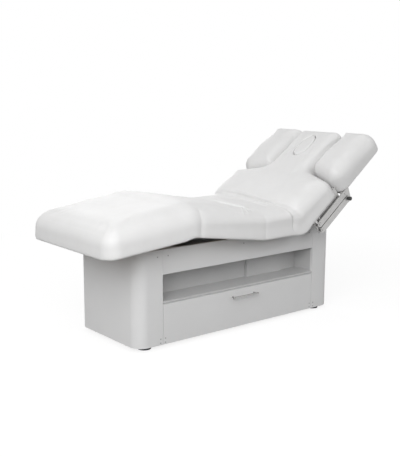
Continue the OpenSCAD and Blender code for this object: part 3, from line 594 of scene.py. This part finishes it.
def stroke(co, points, width, height):
    """Height of a crease or ridge along a line in plan, fading at the line's ends."""
    pts = rounded(points)
    lengths = np.r_[0, np.cumsum(np.linalg.norm(np.diff(pts, axis=0), axis=1))]
    best, along = np.full(len(co), 1e9), np.zeros(len(co))
    for i in range(len(pts) - 1):
        e = pts[i + 1] - pts[i]
        w = co[:, :2] - pts[i]
        t = np.clip(w @ e / (e @ e), 0, 1)
        d = np.linalg.norm(w - t[:, None] * e, axis=1)
        along = np.where(d < best, lengths[i] + t * (lengths[i + 1] - lengths[i]), along)
        best = np.minimum(best, d)
    fade = FOLD_FADE * lengths[-1]
    return height * np.exp(-(best / width) ** 2) * (ease(along / fade) * ease((lengths[-1] - along) / fade))


def across(bm, x, sign, **more):
    """Cuts a bmesh with a plane across the bed."""
    return bmesh.ops.bisect_plane(bm, geom=bm.verts[:] + bm.edges[:] + bm.faces[:], plane_co=(x, 0, 0),
                                  plane_no=(sign, 0, 0), dist=CUT_TOLERANCE, **more)


def add_rows(bm):
    """Adds rows of points across the bed on both sides of the seam."""
    for d in SEAM_ROWS:
        across(bm, SEAM_X + d, 1)


def creased(mesh):
    change(mesh, add_rows)
    co = coords(mesh)
    near = np.zeros(len(co), bool)
    for points, width, height in FOLDS:
        near |= stroke(co, points, FINE_WIDTHS * width, 1.0) > FINE_SHARE
    near &= co[:, 2] > EDGE_Z - FINE_DEPTH

    def refine(bm):
        edges = [e for e in bm.edges if near[e.verts[0].index] and near[e.verts[1].index]]
        bmesh.ops.subdivide_edges(bm, edges=edges, cuts=1, use_grid_fill=True)

    change(mesh, refine)
    co, n = coords(mesh), vertex_values(mesh, "normal")
    x = co[:, 0]
    on_top = ease((n[:, 2] - TOP_FROM) / TOP_RAMP)
    seam = -SEAM_DEPTH * bell(x, SEAM_X, np.where(x < SEAM_X, SEAM_STEEP, SEAM_LONG))
    seam = seam * ease((co[:, 2] - SKIRT_Z - SEAM_ABOVE) / SEAM_RAMP)
    seam *= 1 - SEAM_LESS * on_top
    lip = LIP * bell(x, SEAM_X - LIP_BEFORE, LIP_W)
    folds = sum(stroke(co, *fold) for fold in FOLDS)
    move = seam + on_top * (lip + folds)
    set_coords(mesh, co + n * move[:, None])


def sliced(mesh, low, high):
    """Closed slice of a mesh between two values of x."""
    bm = bmesh.new()
    bm.from_mesh(mesh)
    for x, sign in ((low, -1), (high, 1)):
        if x is None:
            continue
        made = across(bm, x, sign, clear_outer=True)
        rim = [e for e in made["geom_cut"] if isinstance(e, bmesh.types.BMEdge)]
        faces = bmesh.ops.edgeloop_fill(bm, edges=rim)["faces"]
        for f in faces:
            f.smooth = False
    bmesh.ops.recalc_face_normals(bm, faces=bm.faces[:])
    out = bpy.data.meshes.new("slice")
    bm.to_mesh(out)
    bm.free()
    return out


# The mattress, made in one and then parted at the knee and at the seam before the back. The swelling
# leaves the points near its pocket, the face hole and the skirt's lower edge where they are
HELD_SIDE, HELD_ROOF, HELD_HOLE, HELD_SKIRT = 3, 6, 7, 4
FACE_CUT = (-200, 300)
PARTS = (
    ("leg_upholstery", None, -THIGH_L, ["leg_cushion"], "thigh", "leg", KNEE_BEND),
    ("seat_upholstery", -THIGH_L, SEAM_X, ["thigh_cushion", "seat_cushion"], "seat", "thigh", THIGH_BEND),
    ("back_upholstery", SEAM_X, None, ["back_cushion"], "seat", "back", BACK_BEND),
)


def held_points(co):
    inside = polygon_distance(co, mattress_outline) < -SKIRT_W + HELD_SIDE
    pocket = inside & (co[:, 2] < POCKET_Z + HELD_ROOF)
    hole = polygon_distance(co, face_outline) < HELD_HOLE
    return (co[:, 2] < SKIRT_Z + HELD_SKIRT) | pocket | hole


def make_mattress():
    body = prism(mattress_outline, SKIRT_Z, EDGE_Z + ROUGH_ABOVE)
    body = cut(body, prism(shrunk(mattress_outline, SKIRT_W), SKIRT_Z - CUT_BELOW, POCKET_Z))
    body = cut(body, prism(face_outline, *FACE_CUT))
    mesh = upholstered(body, mattress_shape, held_points, SKIRT_Z, MATTRESS_VOXEL, MATTRESS_CAP)
    creased(mesh)
    for name, low, high, replaced, body_a, body_b, zone in PARTS:
        part = sliced(mesh, low, high)
        piece = soft_piece(name, part, at_rest(coords(part)), replaced)
        blend_line(zone)
        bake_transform(piece)


# Arm pads and the plug of the face opening, in the back's own frame
back_frame = Matrix.Translation(hinges["back_hinge"]) @ Matrix.Rotation(math.radians(-BACK_ANGLE), 4, "Y")
# Towards the head, an arm pad's top falls, its crown gets flatter and its rolled edge rounder
ARM_TALLER, ARM_FALL, ARM_RISE, ARM_REACH = 8, 8, 26, 116.0
ARM_ROLL, ARM_ROLL_MORE, ARM_FALL_S, ARM_FALL_RAMP = 50, 26, 520, 200
ARM_PROUD, ARM_POCKET_R, ARM_HELD = 3.0, 2.0, 4
# The plug lies below the cushion round it and stands back from the hole at its top
PLUG_SUNK, PLUG_GROOVE, PLUG_ROLL, PLUG_LOWER_R, PLUG_FADE_BELOW, PLUG_FILL = 2.0, 1.2, 11.0, 3.0, 60, 0.9


def in_back(co):
    m = np.array(back_frame)
    return co * MM @ m[:3, :3].T + m[:3, 3]


def make_arm_pads():
    low = SKIRT_Z - ARM_DROP
    edge = EDGE_Z - ARM_DROP + ARM_TALLER

    def shape(p):
        side = polygon_distance(p, arm_outline) - ARM_PROUD + SWELL
        towards_head = ease((p[:, 0] - ARM_FALL_S) / ARM_FALL_RAMP)
        fall = ARM_FALL * towards_head
        top = p[:, 2] - edge + fall - (ARM_RISE - fall) * fullness(-side, ARM_REACH) + SWELL
        body = both(side, top, ARM_ROLL + ARM_ROLL_MORE * towards_head)
        body = both(body, low - p[:, 2], LOWER_R)
        pocket = both(side + ARM_PROUD - SWELL + SKIRT_W, p[:, 2] - low - ARM_BOARD_T, ARM_POCKET_R)
        return np.maximum(body, -pocket)

    body = prism(arm_outline, low, edge + ARM_ROUGH_ABOVE)
    body = cut(body, prism(shrunk(arm_outline, SKIRT_W), low - CUT_BELOW, low + ARM_BOARD_T))
    mesh = upholstered(body, shape, lambda c: c[:, 2] < low + ARM_HELD, low, ARM_VOXEL, ARM_CAP)
    co = coords(mesh)
    mirrored = mesh.copy()
    change(mirrored, lambda bm: bmesh.ops.reverse_faces(bm, faces=bm.faces))
    for side, sign, own in (("front", 1, mesh), ("rear", -1, mirrored)):
        pad = soft_piece(f"{side}_arm_upholstery", own, in_back(co * (1, sign, 1)), [f"{side}_arm_pad"])
        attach(pad, f"{side}_arm")


def make_plug():
    def shape(p):
        side = polygon_distance(p, plug_outline)
        flat = p.copy()
        flat[:, 0] += SEAT_L
        round_it = fullness(-polygon_distance(flat, mattress_outline), CROWN_REACH)
        rise = np.interp(flat[:, 0], PLACES, RISES) * round_it
        top = p[:, 2] - np.interp(flat[:, 0], PLACES, SIDES) - rise + PLUG_SUNK
        body = both(side + PLUG_GROOVE, top, PLUG_ROLL)
        return both(body, POCKET_Z - p[:, 2], PLUG_LOWER_R)

    body = prism(plug_outline, POCKET_Z, EDGE_Z + CROWN)
    low = EDGE_Z - PLUG_FADE_BELOW
    mesh = upholstered(body, shape, lambda c: c[:, 2] < EDGE_Z, low, PLUG_VOXEL, PLUG_CAP)
    plug = soft_piece("face_plug_upholstery", mesh, in_back(coords(mesh)), ["face_plug"])
    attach(plug, "plug")


# Steel angles under the back board's long edges, seen between the cushion and the links
ANGLE_OUTER, ANGLE_INNER, ANGLE_WALL = 371.4, 338.0, 3.0
ANGLE_HIGH, ANGLE_LOW, ANGLE_START, ANGLE_END = 13.6, -64.0, 150.0, 345.0


def make_edge_angles():
    profile = [(ANGLE_OUTER, ANGLE_HIGH), (ANGLE_OUTER, ANGLE_LOW),
               (ANGLE_OUTER - ANGLE_WALL, ANGLE_LOW), (ANGLE_OUTER - ANGLE_WALL, ANGLE_HIGH - ANGLE_WALL),
               (ANGLE_INNER, ANGLE_HIGH - ANGLE_WALL), (ANGLE_INNER, ANGLE_HIGH)]
    n = len(profile)
    faces = [tuple(range(n)), tuple(range(2 * n - 1, n - 1, -1))]
    faces += [(i, n + i, n + (i + 1) % n, (i + 1) % n) for i in range(n)]
    for side, sign in (("front", -1), ("rear", 1)):
        points = [(s, sign * y, z) for s in (ANGLE_START, ANGLE_END) for y, z in profile]
        mesh = mesh_from(in_back(np.array(points)), faces)
        change(mesh, lambda bm: bmesh.ops.recalc_face_normals(bm, faces=bm.faces[:]))
        mesh.materials.append(MATERIALS["linkage_steel"])
        obj = add_object(f"{side}_edge_angle", mesh)
        m = obj.modifiers.new("edges", "BEVEL")
        m.width, m.segments = 0.8 * MM, BEVEL_SEGMENTS
        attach(obj, "back")


# Hard parts: the CAD's own shapes with broken edges. Each slot has the width of its pieces' broken edges
SHARP_ANGLE, FLAT_ANGLE = 35, 0.5
WELD = 1e-5
# Parts inside the niche, which get the darker melamine as painted shade
PAINTED_SHADE_PARTS = ("niche_back", "bay_floor", "shelf_board", "partitions", "service_cover")
HARD = {
    "laminate_white": (1.0, ["foot_end_shell", "head_end_shell", "top_rail", "back_panel", "bay_floor",
                             "shelf_board", "niche_back", "partitions", "service_cover",
                             "foot_top_board", "drawer_front", "drawer_box"]),
    "board_raw": (0.5, ["base_board", "seat_board", "thigh_board", "leg_board", "back_board",
                        "front_arm_board", "rear_arm_board"]),
    "foot_black": (1.0, ["levelling_feet"]),
    "cap_grey": (0.4, ["screw_caps", "drawer_caps"]),
    "runner_steel": (0.5, ["drawer_runners", "drawer_slides"]),
    "plastic_black": (0.7, ["mains_inlet", "front_lock_knob", "rear_lock_knob"]),
    "lift_metal": (0.8, ["column_outer", "column_middle", "column_inner", "column_base"]),
    "frame_black": (1.5, ["seat_rails", "seat_cross_tubes", "thigh_rails", "thigh_cross_tube",
                          "leg_bars", "leg_cross_bar", "back_rails", "back_cross_tube"]),
    "linkage_steel": (0.8, ["seat_hinge_pins", "knee_pins", "front_arm_plate", "rear_arm_plate",
                            "front_upper_link", "rear_upper_link", "front_lower_link",
                            "rear_lower_link", "front_arm_carrier", "rear_arm_carrier"]),
    "handle_steel": (0.8, ["drawer_handle"]),
}


def mark_edges(bm):
    """Joins the CAD solid's flat faces, and marks the outward edges that are to be broken."""
    bmesh.ops.remove_doubles(bm, verts=bm.verts, dist=WELD)
    bmesh.ops.dissolve_limit(bm, angle_limit=math.radians(FLAT_ANGLE), verts=bm.verts, edges=bm.edges)
    weight = bm.edges.layers.float.new("bevel_weight_edge")
    for e in bm.edges:
        if len(e.link_faces) == 2 and e.calc_face_angle_signed() > math.radians(SHARP_ANGLE):
            e[weight] = 1.0


def dressed(node, slot_name, width):
    """A hard piece made from its CAD solid, with its outward edges broken."""
    mesh = nodes[node].data.copy()
    change(mesh, mark_edges)
    smooth_shade(mesh)
    mesh.set_sharp_from_angle(angle=math.radians(SHARP_ANGLE))
    mesh.materials.clear()
    # Painted shade: the parts inside the niche take the darker copy of the melamine
    mesh.materials.append(MATERIALS["laminate_painted_shade" if node in PAINTED_SHADE_PARTS else slot_name])
    obj = add_object(f"{node}_dressed", mesh)
    m = obj.modifiers.new("edges", "BEVEL")
    m.width, m.segments, m.limit_method = width * MM, BEVEL_SEGMENTS, "WEIGHT"
    m.harden_normals = True
    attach(obj, body_of_node[node])
    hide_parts(node)


def make_hard_parts():
    for slot_name, (width, members) in HARD.items():
        for node in members:
            dressed(node, slot_name, width)


# Studio: a white surround for the eye, soft light from above for the object. The world's light grows
# between two heights of its direction, and the floor is a little darker within so many metres
SKY_FROM, SKY_TO, SKY_LOW, SKY_HIGH = 0.08, 0.45, 0.02, 0.56
FLOOR_HALF, FLOOR_NEAR, FLOOR_FAR = 40, 1.5, 3.0
FLOOR_LESS, FLOOR_SHADE, FLOOR_BOUNCE = 0.16, 0.22, 0.28
# Name, place and diameter in metres, and power in watts of each lamp
LAMPS = (("overhead", (-1.0, 0.6, 4.2), 3.2, 9), ("key", (-3.9, -2.8, 2.9), 4.2, 178),
         ("fill", (1.5, -3.8, 2.3), 2.6, 26), ("rear_fill", (1.6, 4.2, 2.2), 3.0, 34))
LAMP_AIM = (0, 0, 0.6)


def make_world():
    world = bpy.data.worlds.new("studio")
    bpy.context.scene.world = world
    n = Nodes(world, "ShaderNodeOutputWorld")
    split = n.add("ShaderNodeSeparateXYZ", {0: n.place["Generated"]})
    strength = n.span(split.outputs["Z"], SKY_FROM, SKY_TO, SKY_LOW, SKY_HIGH)
    soft = n.add("ShaderNodeBackground", {"Strength": strength})
    white = n.add("ShaderNodeBackground", {"Color": (1, 1, 1)})
    n.finish(n.add("ShaderNodeMixShader", {0: n.seen_rays(), 1: soft.outputs[0], 2: white.outputs[0]}))


def make_floor():
    h = FLOOR_HALF
    floor = add_object("floor", mesh_from([(-h, -h, 0), (h, -h, 0), (h, h, 0), (-h, h, 0)],
                                          [(0, 1, 2, 3)], "floor"))
    n = material_nodes("floor_white")
    length = n.add("ShaderNodeVectorMath", {0: n.place["Object"]}, operation="LENGTH")
    near = n.span(length.outputs["Value"], FLOOR_NEAR, FLOOR_FAR, 1.0, 0.0)
    strength = n.math("SUBTRACT", 1.0, n.math("MULTIPLY", near, FLOOR_LESS))
    glow = n.add("ShaderNodeEmission", {"Strength": strength})
    dim = n.add("ShaderNodeBsdfDiffuse", {"Color": n.mix(near, grey(0.0), grey(FLOOR_SHADE))})
    lit = n.add("ShaderNodeAddShader", {0: glow.outputs[0], 1: dim.outputs[0]})
    plain = n.add("ShaderNodeBsdfDiffuse", {"Color": grey(FLOOR_BOUNCE)})
    shader = n.add("ShaderNodeMixShader", {0: n.seen_rays(), 1: plain.outputs[0], 2: lit.outputs[0]})
    floor.data.materials.append(n.finish(shader))


def make_lamp(name, place, size, power):
    data = bpy.data.lights.new(name, "AREA")
    data.shape, data.size, data.energy = "DISK", size, power
    obj = add_object(name, data)
    obj.location = place
    obj.rotation_mode = "QUATERNION"
    obj.rotation_quaternion = (Vector(LAMP_AIM) - Vector(place)).to_track_quat("-Z", "Y")


def make_studio():
    bpy.context.scene.view_settings.view_transform = "Standard"
    make_world()
    make_floor()
    for row in LAMPS:
        make_lamp(*row)


make_camera()
make_mattress()
make_arm_pads()
make_plug()
make_edge_angles()
make_hard_parts()
make_studio()
